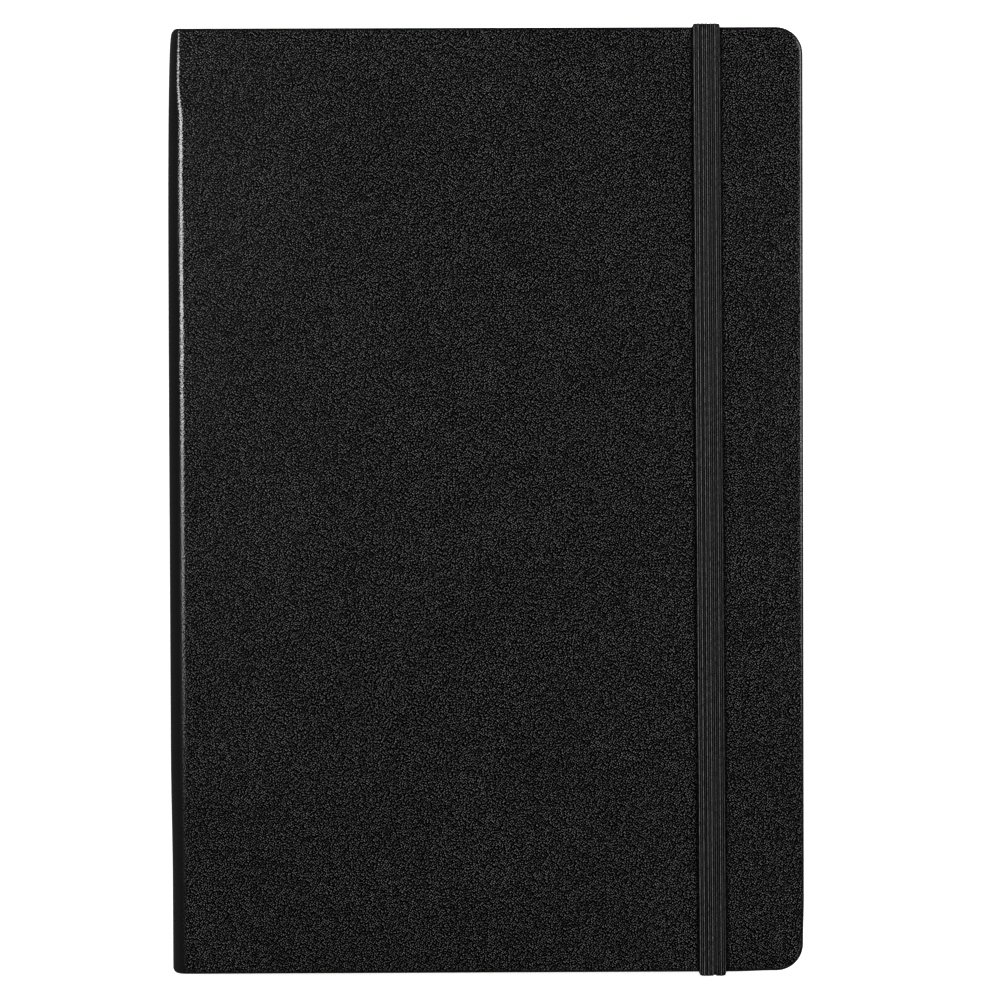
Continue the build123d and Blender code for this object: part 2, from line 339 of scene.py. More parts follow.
def make_leatherette():
    """Black bonded leather: a fine pebble grain, an even dark grey over the folds and the spine, greyer
    where rubbed, with painted glints on the pebbles' tops over painted shade in the pits, dimmed to a
    painted shadow beside the elastic.
    """
    s = Shader("leatherette", Specular_IOR_Level=0.35)
    at = s.cloth()
    across, along = s.axis(at, 0), s.axis(at, 1)
    pebbles, chance = add_pebbles(s, at)
    fine = s.noise(at, 6.0, 2.0, 0.6)
    broad = s.noise(at, 0.045, 3.0)
    patches = s.noise(at, 0.35, 2.0)
    wear = s.wear()
    on_cover = s.ramp(s.math("ABSOLUTE", across), FOLD_FLAT - 0.6, FOLD_FLAT + 0.9)

    # painted glints: the pebbles' tops get a lighter base colour that stands in for their highlights,
    # fewer where worn and over the folds
    top = s.ramp(pebbles, GLINT_INNER, GLINT_OUTER, 1.0, 0.0)
    glint_strength = s.math("MULTIPLY_ADD", s.math("POWER", chance, 2.0), 0.9, 0.1)
    painted_glints = s.math("MULTIPLY", s.math("MULTIPLY", top, glint_strength), s.ramp(broad, 0.3, 0.7, 0.92, 1.08))
    kept = s.math("MULTIPLY_ADD", wear, -0.7, s.math("MULTIPLY_ADD", on_cover, 0.8, 0.2))
    painted_glints = s.math("MULTIPLY", painted_glints, s.math("MAXIMUM", kept, 0.0))

    # a painted shadow along the elastic: the painted glints beside it are dimmed
    slant = s.math("MULTIPLY", along, math.tan(BAND_LEAN))
    from_band = s.math("ADD", s.math("SUBTRACT", across, FOLD_FLAT + BAND_X - HINGE_X), slant)
    near, far = (ELASTIC_W / 2 + reach for reach in BAND_SHADOW_REACH)
    painted_glints = s.math("MULTIPLY", painted_glints, s.ramp(s.math("ABSOLUTE", from_band), near, far, 0.3, 1.0))

    # a faint line pressed into the front cover beside its fore-edge
    off_line = s.math("ABSOLUTE", s.math("SUBTRACT", across, FOLD_FLAT + MARK_X - HINGE_X))
    off_middle = s.math("ABSOLUTE", s.math("SUBTRACT", along, MARK_Y))
    deep, whole = s.ramp(off_line, *MARK_HALF, 1.0, 0.0), s.ramp(off_middle, *MARK_ENDS, 1.0, 0.0)
    mark = s.math("MULTIPLY", deep, whole)

    smooth = s.math("MULTIPLY_ADD", on_cover, -0.4, 0.4)
    rubbed = s.math("MULTIPLY", s.math("MULTIPLY", wear, s.ramp(patches, 0.35, 0.7)), 0.35)
    greyer = s.math("MAXIMUM", s.math("MAXIMUM", smooth, rubbed), s.math("MULTIPLY", mark, 0.5))
    # painted glints on the pebbles' tops over painted shade in their pits
    grain = s.colour(painted_glints, SHADED_PIT_BLACK, (GLINT_GREY, GLINT_GREY, GLINT_GREY))
    dull = s.ramp(patches, 0.3, 0.75, GRAIN_ROUGH, GRAIN_ROUGH + 0.03)
    rough = s.math("ADD", dull, s.math("MULTIPLY", fine, 0.02))
    height = s.math("MULTIPLY_ADD", fine, 0.15, s.ramp(pebbles, 0.0, 0.7, 1.0, 0.0))
    return s.use(
        Base_Color=s.colour(greyer, grain, WORN_GREY),
        Roughness=rough,
        Normal=s.bump(height, GRAIN_DEPTH),
    )


def make_elastic():
    """Black braided elastic: fine columns of yarn side by side, every other one standing proud, with
    painted highlights along the columns' crests, brighter on the proud ones, over painted shade in the
    grooves.
    """
    s = Shader("elastic", Specular_IOR_Level=0.04)
    at = s.cloth()
    across, along = s.axis(at, 0), s.axis(at, 1)
    column = s.math("DIVIDE", s.math("ADD", across, ELASTIC_W * 0.5), RIB_PITCH)
    number = s.math("FLOOR", column)
    off_centre = s.math("ABSOLUTE", s.math("SUBTRACT", s.math("FRACT", column), 0.5))
    ridge = s.ramp(off_centre, 0.0, 0.24, 1.0, 0.0)

    # each column's painted highlight has a strength of its own, and the even ones, which stand proud,
    # are painted brighter
    chance = s.add("TexWhiteNoise", "Value", {"noise_dimensions": "1D"}, W=s.math("ADD", number, 0.5))
    proud = s.math("MULTIPLY_ADD", s.math("MODULO", number, 2.0), -0.7, 1.0)
    strength = s.math("MULTIPLY", proud, s.math("MULTIPLY_ADD", chance, 1.0, 0.5))

    # the yarn's turns along a column, not quite regular
    steady = s.math("MULTIPLY_ADD", along, 1.7, s.math("MULTIPLY", number, 0.37))
    turns = s.math("MULTIPLY_ADD", s.noise(at, 1.1, 1.0), 1.6, steady)
    bead = s.math("ABSOLUTE", s.math("SINE", s.math("MULTIPLY", turns, math.pi)))
    uneven = s.noise(s.cloth((2.0, 0.9, 1.0)), 1.0, 2.0, 0.6)
    fibres = s.noise(s.cloth((9.0, 2.2, 1.0)), 1.0, 2.0, 0.65)

    # a painted highlight along each column's crest, beaded by the yarn's turns and uneven along the band
    painted_rib_highlight = s.math("MULTIPLY", ridge, strength)
    painted_rib_highlight = s.math("MULTIPLY", painted_rib_highlight, s.math("MULTIPLY_ADD", bead, 0.65, 0.3))
    painted_rib_highlight = s.math("MULTIPLY", painted_rib_highlight, s.ramp(uneven, 0.25, 0.75, 0.4, 1.4))
    inner, outer = (ELASTIC_W / 2 - margin for margin in HIGHLIGHT_FADE)
    painted_rib_highlight = s.math("MULTIPLY", painted_rib_highlight, s.ramp(s.math("ABSOLUTE", across), inner, outer, 1.0, 0.0))
    yarn = s.colour(painted_rib_highlight, SHADED_PIT_BLACK, (YARN_HIGHLIGHT_GREY, YARN_HIGHLIGHT_GREY, YARN_HIGHLIGHT_GREY))
    worn = s.colour(s.math("MULTIPLY", s.wear(), 0.1), yarn, WORN_GREY)
    height = s.math("MULTIPLY_ADD", fibres, 0.3, s.math("MULTIPLY", bead, ridge))
    rough = s.ramp(fibres, 0.2, 0.8, 0.4, 0.55)
    return s.use(Base_Color=worn, Roughness=rough, Normal=s.bump(height, 0.03))


def make_paper(name, light, dark, cad):
    """Drawing paper: soft tooth, fibres and a slight unevenness of tone."""
    s = Shader(name, Specular_IOR_Level=0.3)
    at = s.place() if cad else s.cloth()
    tooth = s.noise(at, 2.6, 3.0, 0.6)
    stretched = s.place((3.0, 0.6, 3.0)) if cad else s.cloth((3.0, 0.6, 3.0))
    fibres = s.noise(stretched, 1.4, 3.0, 0.7)
    broad = s.noise(at, 0.05, 2.0)
    height = s.math("MULTIPLY_ADD", fibres, 0.5, tooth)
    tone = s.math("MULTIPLY_ADD", s.ramp(broad, 0.2, 0.8), 0.12, s.math("MULTIPLY", fibres, 0.55))
    rough = s.ramp(tooth, 0.2, 0.8, 0.78, 0.92)
    return s.use(Base_Color=s.colour(tone, light, dark), Roughness=rough, Normal=s.bump(height, 0.02))


def make_greyboard():
    """Grey recycled board, flecked with darker and lighter fibres."""
    s = Shader("greyboard", Specular_IOR_Level=0.25)
    flecks = s.noise(s.place((1.0, 2.5, 6.0)), 2.0, 3.0, 0.7)
    layers = s.noise(s.place((0.3, 0.3, 9.0)), 1.0, 2.0)
    tone = s.colour(s.ramp(flecks, 0.35, 0.7), (0.20, 0.185, 0.165), (0.33, 0.31, 0.28))
    layered = s.colour(s.math("MULTIPLY", layers, 0.4), tone, (0.16, 0.15, 0.135))
    rough = s.ramp(flecks, 0.2, 0.8, 0.8, 0.95)
    return s.use(Base_Color=layered, Roughness=rough, Normal=s.bump(s.noise(s.place(), 3.0, 3.0), 0.05))


def make_open_weave(name, light, dark, pitch):
    """A plain weave of two sets of yarns in the Y and Z directions, crossing over and under."""
    s = Shader(name, Specular_IOR_Level=0.3, Sheen_Weight=0.15)
    at = s.place()
    run = math.pi / pitch
    warp, weft = (s.math("SINE", s.math("MULTIPLY", s.axis(at, number), run)) for number in (1, 2))
    weave = s.math("ABSOLUTE", s.math("MULTIPLY", warp, weft))
    fuzz = s.noise(at, 5.0, 2.0)
    tone = s.colour(s.math("MULTIPLY_ADD", fuzz, 0.3, s.math("MULTIPLY", weave, 0.7)), dark, light)
    height = s.math("MULTIPLY_ADD", fuzz, 0.3, weave)
    return s.use(Base_Color=tone, Roughness=s.ramp(fuzz, 0.2, 0.8, 0.7, 0.9), Normal=s.bump(height, 0.1))


def make_yarn(name, light, dark):
    """Waxed thread: fine fibres along the yarn."""
    s = Shader(name, Specular_IOR_Level=0.4, Sheen_Weight=0.2)
    fibres = s.noise(s.cloth((8.0, 1.5, 8.0)), 1.5, 2.0, 0.6)
    tone = s.colour(s.ramp(fibres, 0.3, 0.7), dark, light)
    rough = s.ramp(fibres, 0.2, 0.8, 0.5, 0.7)
    return s.use(Base_Color=tone, Roughness=rough, Normal=s.bump(fibres, 0.03))


leatherette = make_leatherette()
elastic = make_elastic()
sketch_paper = make_paper("sketch_paper", (0.86, 0.83, 0.75), (0.78, 0.74, 0.65), False)
endpaper = make_paper("endpaper", (0.84, 0.81, 0.73), (0.76, 0.72, 0.63), True)
lining_paper = make_paper("lining_paper", (0.50, 0.40, 0.28), (0.40, 0.31, 0.21), True)
greyboard = make_greyboard()
mull_cloth = make_open_weave("mull_cloth", (0.80, 0.78, 0.72), (0.30, 0.27, 0.22), 0.8)
band_cloth = make_yarn("band_cloth", (0.030, 0.030, 0.031), (0.009, 0.009, 0.009))
sewing_thread = make_yarn("sewing_thread", (0.82, 0.80, 0.74), (0.60, 0.57, 0.50))

# ---- Case: one skin of leatherette, in two halves that meet down the middle of the spine ---------

# A point of the skin's section across the book: its x, its distance from the middle plane, the two
# parts of its outward normal, the skin's whole thickness there with the outer and inner radius at
# the head and tail, and its distance from the spine's middle on the flat material.
Section = namedtuple("Section", "x d out_x out_d thickness rim inner_rim flat")

# A point of the profile over an edge: how far out it is from the corner's centre, its depth under
# the outside, its distance on the flat material and its wear.
Edge = namedtuple("Edge", "out depth length wear")


def pull_in(y):
    """How far the spine is drawn in towards the block, near the head and a little near the tail."""
    from_head = max(0.0, HEAD_Y - y)
    at_head = sum(pull * math.exp(-from_head / reach) for pull, reach in HEAD_PULLS)
    return at_head + TAIL_PULL * ease((-y - TAIL_PULL_FROM) / 30.0)


def tighten(y):
    """How far the ridge of the fold leans out over the spine near the head."""
    wander = 0.09 * wave(y, 0.0, 11.0, 6.0)
    return HEAD_LEAN * ease((y - HEAD_LEAN_FROM) / 9.0) + wander + 0.05 * wave(y, 0.0, 3.5, 2.0)


def settle(x, y):
    """x with the spine's pull towards the block added, and the wander of the fold's ridge."""
    ridge = HINGE_X + FOLD_REACH
    share = (x - SPINE_X) / (ridge - SPINE_X) if x < ridge else 1 - (x - ridge) / RIDGE_REACH
    moved = x - tighten(y) * ease(share)
    if x >= HINGE_X:
        return moved
    return HINGE_X + (moved - HINGE_X) * (1 - pull_in(y) / FOLD_R)


def undulation(x, y, side):
    """Gentle unevenness of the board and the glue under the leatherette."""
    return 0.045 * wave(x, y, 34.0, 3.0 + side) + 0.018 * wave(x, y, 9.0, 8.0 + side)


def soften(x, y):
    """The place with the tail corner of the fore-edge a little softer than the others."""
    near = ease((x - FORE_X + 16.0) / 9.0) * ease((-y - HEAD_Y + 16.0) / 9.0)
    return x - 0.2 * near, y + 0.2 * near


def end_profile(thickness, rim, inner_rim):
    """The profile over an edge, from the outside round the rim to the end of the turned-in margin."""
    steps = [(r, 0.0, 0.0) for r in (0.0, 2.0, 4.0, CORNER_R - rim)]
    for k in range(1, 7):
        a = math.radians(15 * k)
        steps.append((CORNER_R - rim + rim * math.sin(a), rim - rim * math.cos(a), 1.0))
    steps.append((CORNER_R, (rim + thickness - inner_rim) / 2, 0.6))
    for k in range(5):
        a = math.radians(22.5 * k)
        out = CORNER_R - inner_rim + inner_rim * math.cos(a)
        steps.append((out, thickness - inner_rim + inner_rim * math.sin(a), 0.5))
    steps += [(r, thickness, 0.0) for r in (4.0, 2.0, 0.0, -4.0, CORNER_R - TURN_IN)]
    profile, length = [], 0.0
    for k, (out, depth, wear) in enumerate(steps):
        if k:
            length += math.hypot(out - steps[k - 1][0], depth - steps[k - 1][1])
        profile.append(Edge(out, depth, length, wear))
    return profile


RIM_START = 3  # the profile's last level point before the rim
CENTRE_ROW = 18  # the profile's inner point over the corner's centre

# The slits in the back cover that the elastic's ends go through
SLIT_FROM, SLIT_TO = 10.95, 12.05  # from the glued tab's inner end
SLIT_ROOM = 0.15  # beside the band
slit_low, slit_high = {}, {}
for end, name in ENDS:
    low, high = box_mm(f"elastic_end_{name}")
    middle = (low[0] + high[0]) / 2
    inner = low[1] if end == HEAD else -high[1]
    slit_y = sorted((end * (inner + SLIT_FROM), end * (inner + SLIT_TO)))
    slit_low[end] = (middle - ELASTIC_W / 2 - SLIT_ROOM, slit_y[0])
    slit_high[end] = (middle + ELASTIC_W / 2 + SLIT_ROOM, slit_y[1])


def in_slit(x, y):
    return any(
        slit_low[end][0] < x < slit_high[end][0] and slit_low[end][1] < y < slit_high[end][1]
        for end in (HEAD, TAIL)
    )


def with_slits(values, axis):
    """Sorted values with the slits' edges put in, and what lies too near to them left out."""
    lines = [corner[end][axis] for corner in (slit_low, slit_high) for end in (HEAD, TAIL)]
    kept = [v for v in values if all(abs(v - line) > 0.3 for line in lines)]
    return sorted(kept + lines)


def cover_columns(side):
    """Places across a cover, from where the fold ends to the centre of the fore-edge's corners."""
    start = HINGE_X + FOLD_REACH
    near = [start + step for step in (0.08, 0.16, 0.25, 0.35, 0.8, 1.5)]
    rest = list(np.linspace(start + 2.6, FORE_X - CORNER_R, 60))
    if side == FRONT:
        return near + rest
    return near + with_slits(rest[:-1], 0) + rest[-1:]


def cover_rows(side):
    """Places along a cover, between the centres of the head's and the tail's corners."""
    rows = list(np.linspace(CORNER_R - HEAD_Y, HEAD_Y - CORNER_R, 91))
    return rows if side == FRONT else with_slits(rows, 1)


def sections(side):
    """The skin's section from the middle of the spine to the centre of the fore-edge's corners."""
    found = []
    for d in (0.0, 1.5, 3.0, 4.5, FOLD_D - 0.4):
        found.append(Section(SPINE_X, d, -1.0, 0.0, SPINE_T, SPINE_END_R, SPINE_END_INNER_R, d))
    slope = math.radians(FOLD_START)
    for k in range(FOLD_STEPS + 1):
        share = k / FOLD_STEPS
        a = math.radians(90 - (90 - FOLD_START) * share)
        across = (math.sin(a) - math.sin(slope)) / (1 - math.sin(slope))
        up = math.cos(a) / math.cos(slope)
        x = SPINE_X + (FOLD_R + FOLD_REACH) * (1 - across)
        d = FOLD_D + (FOLD_R - FOLD_DROP) * up
        rim = SPINE_END_R + (RIM_R - SPINE_END_R) * ease(share)
        inner = SPINE_END_INNER_R + (RIM_INNER_R - SPINE_END_INNER_R) * ease(share)
        flat = FOLD_D + (FOLD_R * math.pi / 2 + FOLD_REACH) * share
        found.append(Section(x, d, -math.sin(a), math.cos(a), SPINE_T, rim, inner, flat))
    for x in cover_columns(side):
        drop = FOLD_DROP * max(0.0, 1 - (x - HINGE_X - FOLD_REACH) / FOLD_ROLL) ** 2
        flat = FOLD_FLAT + x - HINGE_X
        found.append(Section(x, CASE_D - drop, 0.0, 1.0, COVER_T - drop, RIM_R, RIM_INNER_R, flat))
    return found


def fold_wear(section):
    """The fold is rubbed along its outside."""
    if not 0.0 < section.out_d < 1.0:
        return 0.0
    return 0.7 * max(0.0, -section.out_x * section.out_d * 2)


def skin_point(side, section, y, depth, flat_y, wear):
    """A point of the skin at some depth under the outside, in the frame."""
    lift = undulation(section.flat, y, side) if depth < 0.5 else 0.0
    under = depth - lift * (1 if section.out_d > 0.9 else 0)
    x = section.x - section.out_x * under
    d = section.d - section.out_d * under
    x, y = soften(settle(x, y), y)
    return (x, y, MID_Z + side * d), (side * section.flat, flat_y, 0.0), wear


def end_row(side, end, chosen, k):
    """One row of the skin over the head or the tail, along the chosen sections."""
    row = []
    for section in chosen:
        edge = end_profile(section.thickness, section.rim, section.inner_rim)[k]
        y = end * (HEAD_Y - CORNER_R + edge.out)
        flat_y = end * (HEAD_Y - CORNER_R + edge.length)
        wear = max(edge.wear, fold_wear(section))
        if edge.out < 0 and section.out_d == 1.0:  # mitred at the corner
            reach = (section.x - HINGE_X) / (FORE_X - CORNER_R - HINGE_X)
            section = section._replace(x=section.x + reach * edge.out)
        row.append(skin_point(side, section, y, edge.depth, flat_y, wear))
    return row


def fore_edge_rows(side, rows, flat_x, profile):
    """The skin over the fore-edge, between the corners."""
    found = []
    for out, depth, length, wear in profile:
        row = []
        for flat_y in rows:
            y = flat_y * (1 + out / (HEAD_Y - CORNER_R)) if out < 0 else flat_y
            lift = undulation(flat_x + out, y, side) if depth < 0.5 else 0.0
            point = (*soften(FORE_X - CORNER_R + out, y), MID_Z + side * (CASE_D - depth + lift))
            row.append((point, (side * (flat_x + length), flat_y, 0.0), wear))
        found.append(row)
    return found


def corner_rows(side, end, flat_x, profile):
    """The skin over one of the fore-edge's rounded corners, as a fan."""
    found = []
    for out, depth, length, wear in profile[: CENTRE_ROW + 1]:
        row = []
        for k in range(13):
            a = math.radians(90 * k / 12)
            x = FORE_X - CORNER_R + out * math.cos(a)
            y = end * (HEAD_Y - CORNER_R + out * math.sin(a))
            lift = undulation(flat_x + out * math.cos(a), y, side) if depth < 0.5 else 0.0
            point = (*soften(x, y), MID_Z + side * (CASE_D - depth + lift))
            cloth_x = side * (flat_x + length * math.cos(a))
            cloth_y = end * (HEAD_Y - CORNER_R + length * math.sin(a))
            row.append((point, (cloth_x, cloth_y, 0.0), min(1.0, wear * 1.4)))
        found.append(row)
    return found


def make_skin(side):
    """One half of the case's leatherette: outside, rims and turned-in margins."""
    mesh = Mesh()
    columns = sections(side)
    rows = cover_rows(side)
    profile = end_profile(COVER_T, RIM_R, RIM_INNER_R)
    fold_columns = [c for c in columns if c.out_d > 0 or c.d >= FOLD_D - 1e-6]
    spine_columns = [c for c in columns if c.d <= FOLD_D + 1e-6 and c.x == SPINE_X]

    def wanted(r, c):
        if side == FRONT:
            return True
        return not in_slit((columns[c].x + columns[c + 1].x) / 2, (rows[r] + rows[r + 1]) / 2)

    outside = [[skin_point(side, c, y, 0.0, y, fold_wear(c)) for c in columns] for y in rows]
    mesh.grid(outside, wanted)
    for end in (HEAD, TAIL):
        mesh.grid([end_row(side, end, fold_columns, k) for k in range(len(profile))])
        mesh.grid([end_row(side, end, spine_columns, k) for k in range(RIM_START + 1)])
    flat_x = columns[-1].flat
    mesh.grid(fore_edge_rows(side, rows, flat_x, profile))
    for end in (HEAD, TAIL):
        mesh.grid(corner_rows(side, end, flat_x, profile))
    return mesh


skins = {}
for side, name in ((REAR, "back"), (FRONT, "front")):
    outward = ((0, 0, MID_Z + side * CASE_D), (0, 0, side))
    skins[side] = new_piece(f"{name}_skin", make_skin(side), leatherette, outward, SKIN)

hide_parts("back_cover_leatherette", "rear_hinge_leatherette")
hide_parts("front_cover_leatherette", "front_hinge_leatherette")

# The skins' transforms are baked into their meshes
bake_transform(skins[REAR])
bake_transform(skins[FRONT])

# The spine's leatherette goes over the ends of the spine strip and down its inside
for end, name in ENDS:
    mesh = Mesh()
    wrap_rows = []
    for out, depth, length, wear in end_profile(SPINE_T, SPINE_END_R, SPINE_END_INNER_R)[RIM_START:]:
        row = []
        for d in np.linspace(-FOLD_D, FOLD_D, 13):
            y = end * (HEAD_Y - CORNER_R + out)
            point = (settle(SPINE_X + depth, y), y, MID_Z + d)
            row.append((point, (d, end * (HEAD_Y - CORNER_R + length), 0.0), wear))
        wrap_rows.append(row)
    mesh.grid(wrap_rows)
    outward = ((SPINE_X + 0.3, end * HEAD_Y, MID_Z), (-0.7, end * 0.7, 0))
    wrap = new_piece(f"spine_turn_in_{name}", mesh, leatherette, outward, SKIN)
    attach(wrap, "spine")
    if end == HEAD:
        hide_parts("spine_leatherette")


# ---- Spine strip: a thin board with rounded ends, drawn in with the leatherette -------------------

STRIP_END = 0.9  # from the strip's ends to the centres of their rounding
STRIP_ROWS = 61


def strip_outline(half_t, centre_x):
    """The strip's section along the spine, once round: (x, y)."""
    head_y, tail_y = board_high[1] - STRIP_END, board_low[1] + STRIP_END
    turn = [math.radians(15 * k) for k in range(1, 12)]
    outline = [(board_low[0], y) for y in np.linspace(tail_y, head_y, STRIP_ROWS)]
    outline += [(centre_x - half_t * math.cos(a), head_y + half_t * math.sin(a)) for a in turn]
    outline += [(board_high[0], y) for y in np.linspace(head_y, tail_y, STRIP_ROWS)]
    outline += [(centre_x + half_t * math.cos(a), tail_y - half_t * math.sin(a)) for a in turn]
    return outline + outline[:1]


def make_strip():
    """The strip's outline, stacked in Z, with its long edges eased."""
    mesh = Mesh()
    centre_x = (board_high[0] + board_low[0]) / 2
    outline = strip_outline((board_high[0] - board_low[0]) / 2, centre_x)
    layers = (
        (board_low[2] + 0.05, 0.12), (board_low[2] + 0.12, 0.0), (MID_Z, 0.0),
        (board_high[2] - 0.12, 0.0), (board_high[2] - 0.05, 0.12),
    )
    strip_rows = []
    for z, shrink in layers:
        row = []
        for x, y in outline:
            narrowed = centre_x + (x - centre_x) * (1 - shrink)
            row.append(((settle(narrowed, y), y, z), (x, y, z), 0.0))
        strip_rows.append(row)
    mesh.grid(strip_rows)
    return mesh


strip = new_piece("spine_strip", make_strip(), greyboard, ((board_low[0], 0, MID_Z), (-1, 0, 0)))
work = bmesh.new()
work.from_mesh(strip.data)
bmesh.ops.holes_fill(work, edges=[e for e in work.edges if e.is_boundary])
bmesh.ops.recalc_face_normals(work, faces=work.faces)
work.to_mesh(strip.data)
work.free()
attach(strip, "spine")
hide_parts("spine_board")

# ---- Book block: every leaf of every signature ---------------------------------------------------


def leaf_rows(high_y):
    """Places along the book's height, closer together round the corners."""
    turn = [high_y - LEAF_CORNER_R * (1 - math.sin(math.radians(a))) for a in range(0, 91, 18)]
    inside = list(np.linspace(-turn[0], turn[0], 25))
    return [-y for y in reversed(turn[1:])] + inside + turn[1:]


def folded_round(low):
    """The x that a signature's sheets are folded round, which keeps the outermost in its CAD box."""
    return low[0] + SHEETS * LEAF_PITCH - 0.005


def leaf_line(leaf, y, trim, low, high, sheet, seed):
    """Points across one leaf and round its half of the fold, from the fore-edge inwards.

    The leaves drift from their level where they are loose, towards the fore-edge and both ends.
    """
    trim_x, trim_head, trim_tail = trim
    radius = INNER_FOLD_R + sheet * LEAF_PITCH
    fold_x = folded_round(low)
    centre_z = (low[2] + high[2]) / 2
    cut_y = y * (1 - (trim_head if y > 0 else trim_tail) / high[1])
    into_corner = max(0.0, abs(y) - (high[1] - LEAF_CORNER_R))
    rounded = math.sqrt(max(0.0, LEAF_CORNER_R**2 - into_corner**2))
    far = high[0] - LEAF_CORNER_R + rounded - trim_x
    line = []
    for share in (0.0, 0.01, 0.03, 0.08, 0.2, 0.4, 0.6, 0.8, 1.0):
        x = far + (fold_x - far) * share
        loose = max(ease((x - 40) / 28), ease((abs(y) - 70) / 33))
        drift = LEAF_DRIFT * loose * wave(x + 3.7 * sheet, y, 21.0, seed + 5.3 * sheet + leaf)
        line.append((x, cut_y, centre_z + leaf * radius + drift))
    for k in range(1, 4):
        a = math.radians(22.5 * k)
        line.append((fold_x - radius * math.sin(a), cut_y, centre_z + leaf * radius * math.cos(a)))
    return line


def make_signature(low, high, seed):
    """Four sheets folded into one another: eight leaves, trimmed almost flush."""
    mesh = Mesh()
    draw = random.Random(seed)
    for sheet in range(SHEETS):
        upper_trim, lower_trim = ([draw.uniform(0.0, most) for most in TRIM] for _ in range(2))
        fold_outside = folded_round(low) - (INNER_FOLD_R + sheet * LEAF_PITCH)
        rows = []
        for y in leaf_rows(high[1]):
            upper = leaf_line(1, y, upper_trim, low, high, sheet, seed)
            lower = leaf_line(-1, y, lower_trim, low, high, sheet, seed)
            line = upper + [(fold_outside, y, (low[2] + high[2]) / 2)] + lower[::-1]
            row = []
            for k, point in enumerate(line):
                apart = 150 * (k > len(line) // 2) + 37.0 * sheet
                row.append((point, (point[0] + apart, point[1] + 11.0 * seed, 0.0), 0.0))
            rows.append(row)
        mesh.grid(rows)
    return mesh


for number in SIGNATURES:
    body = signature_body(number)
    low, high = box_mm(f"signature_{number}")
    leaves = make_signature(low, high, number)
    outward = ((0, 0, high[2]), (0, 0, 1))
    pages = new_piece(f"leaves_{number}", leaves, sketch_paper, outward, LEAF_T, 0.0)
    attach(pages, body)
    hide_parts(f"signature_{number}")

# ---- Sewing and bands ---------------------------------------------------------------------------


def tube(mesh, centres, radius, sides, swell=lambda length, a: 1.0):
    """A tube round a line of points; swell gives its radius along and round it as a share."""
    rows = []
    length = 0.0
    for k, centre in enumerate(centres):
        ahead = np.array(centres[min(k + 1, len(centres) - 1)])
        behind = np.array(centres[max(k - 1, 0)])
        along = (ahead - behind) / np.linalg.norm(ahead - behind)
        side_a = np.cross(along, (1.0, 0.02, 0.013))
        side_a /= np.linalg.norm(side_a)
        side_b = np.cross(along, side_a)
        if k:
            length += float(np.linalg.norm(np.array(centre) - np.array(centres[k - 1])))
        row = []
        for j in range(sides + 1):
            a = 2 * math.pi * j / sides
            r = radius * swell(length, a)
            point = np.array(centre) + r * (math.cos(a) * side_a + math.sin(a) * side_b)
            row.append((tuple(point), (a * radius, length, centre[0]), 0.0))
        rows.append(row)
    mesh.grid(rows)


def make_stitches(low, high):
    """A signature's stitches: two plies twisted round each other, sinking in at both ends."""
    mesh = Mesh()
    middle = (low + high) / 2
    radius = (high[0] - low[0]) / 2
    for station in STITCHES:
        for ply in range(2):
            centres = []
            for k in range(25):
                share = k / 24
                a = 2 * math.pi * (share * 9 + ply / 2)
                sink = 0.06 * (1 - math.sin(math.pi * share))
                x = middle[0] + 0.45 * radius * math.cos(a) + sink
                y = station * STITCH_PITCH + (share - 0.5) * STITCH_LENGTH
                centres.append((x, y, middle[2] + 0.45 * radius * math.sin(a)))
            tube(mesh, centres, radius * 0.52, 6)
    return mesh


for number in SIGNATURES:
    body = signature_body(number)
    low, high = box_mm(f"sewing_thread_{number}")
    outward = ((low[0], 0, (low[2] + high[2]) / 2), (-1, 0, 0))
    thread = new_piece(f"stitches_{number}", make_stitches(low, high), sewing_thread, outward)
    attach(thread, body)
    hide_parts(f"sewing_thread_{number}")


def make_band(low, high, bead_y, inner_y):
    """A band over the block's spine: a bead of wound yarn, and the tape that it is glued on with."""
    mesh = Mesh()

    def wound(length, a):
        return 0.88 + 0.11 * abs(math.sin(math.pi * length / BEAD_PITCH + a * 0.5))

    line = [(low[0] + BEAD_R, bead_y, z) for z in np.linspace(low[2] + 0.03, high[2] - 0.03, 150)]
    tube(mesh, line, BEAD_R, 18, wound)
    tape_rows = []
    for y in np.linspace(inner_y, bead_y, 12):
        row = []
        for z in np.linspace(low[2], high[2], 20):
            row.append(((low[0] + 0.15 + 0.02 * wave(y, z, 1.4, 2.0), y, z), (y, z, 0.0), 0.0))
        tape_rows.append(row)
    mesh.grid(tape_rows)
    return mesh


for end, name in ((HEAD, "headband"), (TAIL, "tailband")):
    low, high = box_mm(name)
    bead_y = high[1] - BEAD_R if end == HEAD else low[1] + BEAD_R
    inner_y = low[1] if end == HEAD else high[1]
    outward = ((low[0] - 0.2, bead_y, MID_Z), (-1, 0, 0))
    woven = make_band(low, high, bead_y, inner_y)
    band = new_piece(f"woven_{name}", woven, band_cloth, outward, 0.06, 0.0)
    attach(band, "spine")
    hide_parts(name)

# ---- Elastic closure band -----------------------------------------------------------------------

# A point of the band's route round the covers: its place, half the band's thickness there and how
# deep its middle is creased.
Stop = namedtuple("Stop", "y z half_t notch")


def rib_profile():
    """The band's cross-section, once round: (across, height as a share of half the thickness)."""
    half = ELASTIC_W / 2
    top = []
    steps = 96
    for k in range(steps + 1):
        u = -half + 2 * half * k / steps
        column = min(RIBS - 1, int((u + half) / RIB_PITCH))
        crest = math.sin(math.pi * ((u + half) / RIB_PITCH - column)) ** 0.8 if k < steps else 0.0
        level = 1 - max(RIB_PROUD) + RIB_PROUD[column % 2] * crest
        off_edge = max(0.0, (abs(u) - (half - BAND_EDGE)) / BAND_EDGE)
        top.append((u, level * math.sqrt(max(0.0, 1 - off_edge**2))))
    bottom = [(u, -h) for u, h in reversed(top[1:-1])]
    return top + bottom + top[:1]


